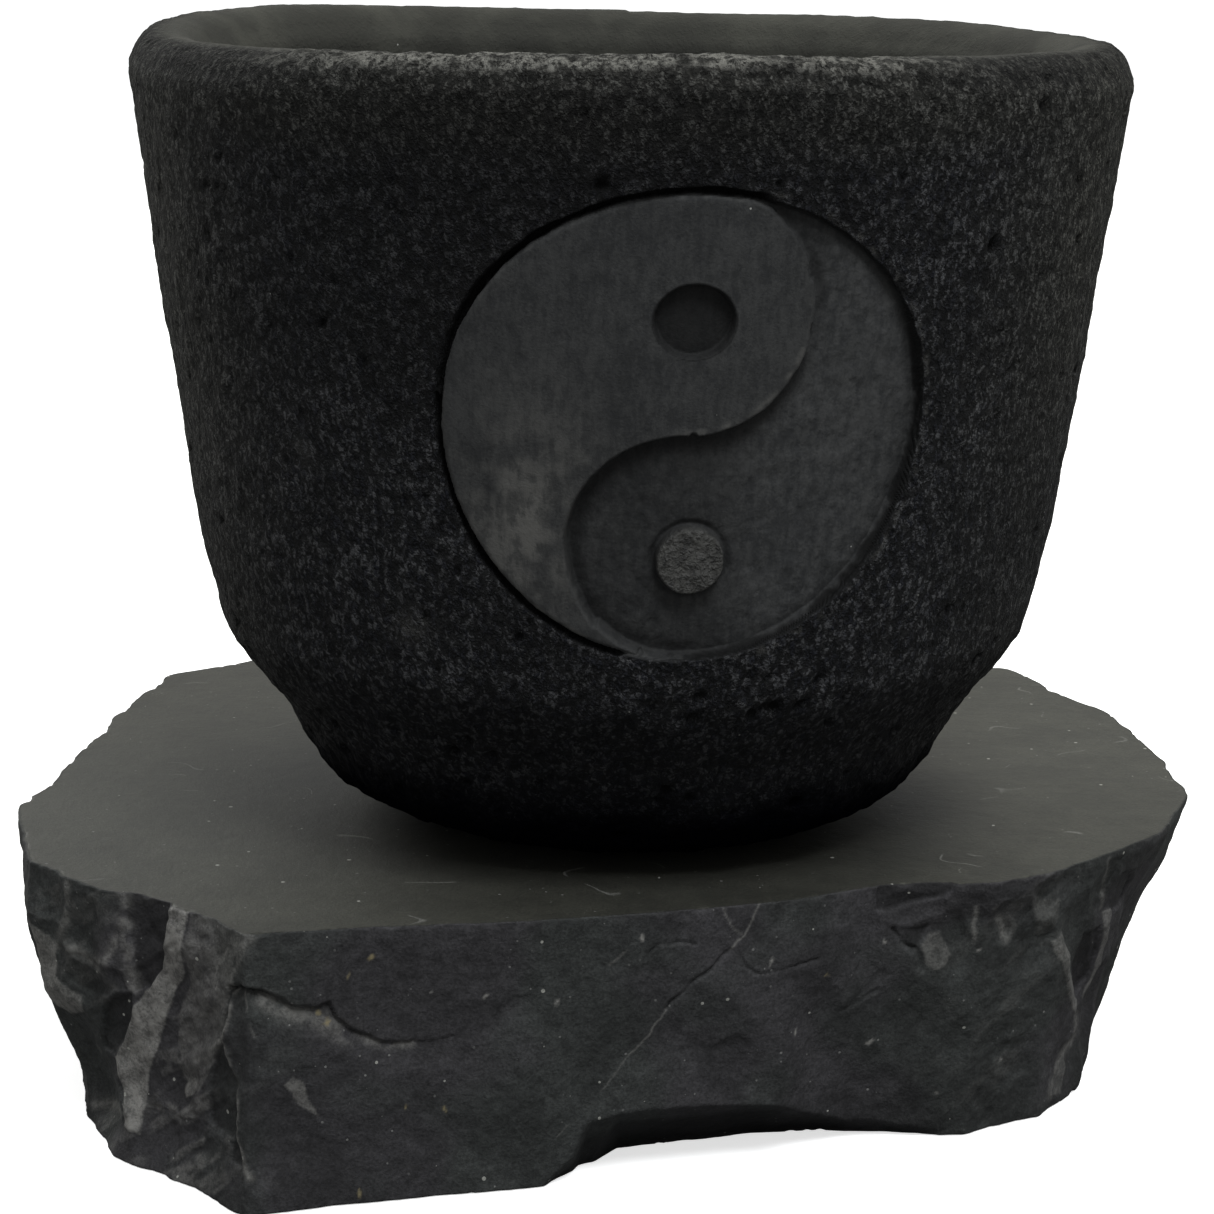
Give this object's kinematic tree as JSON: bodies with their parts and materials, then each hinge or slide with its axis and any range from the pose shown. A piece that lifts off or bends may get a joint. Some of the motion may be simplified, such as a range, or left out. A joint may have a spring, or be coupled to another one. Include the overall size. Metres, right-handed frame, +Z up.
{
  "type": "molcajete",
  "caption": "Deep carved basalt mortar with a rounded lip, tapering wall and round yin-yang relief, standing loose on a flat slab of split dark stone.",
  "frame": {"origin": "on the ground plane, on the slab's flat underside, directly below the bowl's axis", "axes": "+Z up along the bowl's axis, -Y towards the carved front, +X to the right seen from the front"},
  "size_m": [0.1838, 0.1827, 0.1613],
  "materials": {
    "split_stone": "fine-grained dark stone, sawn flat above and below and split rough round the sides",
    "basalt": "matt porous basalt, tooled rough outside with a honed relief"
  },
  "bodies": {
    "slab": {"base_slab": "split_stone"},
    "mortar": {"bowl": "basalt"}
  },
  "joints": [
    {"name": "bowl_lift", "type": "slide", "parent": "slab", "child": "mortar", "axis": [0, 0, 1], "range_m": [0, 0.06]}
  ]
}
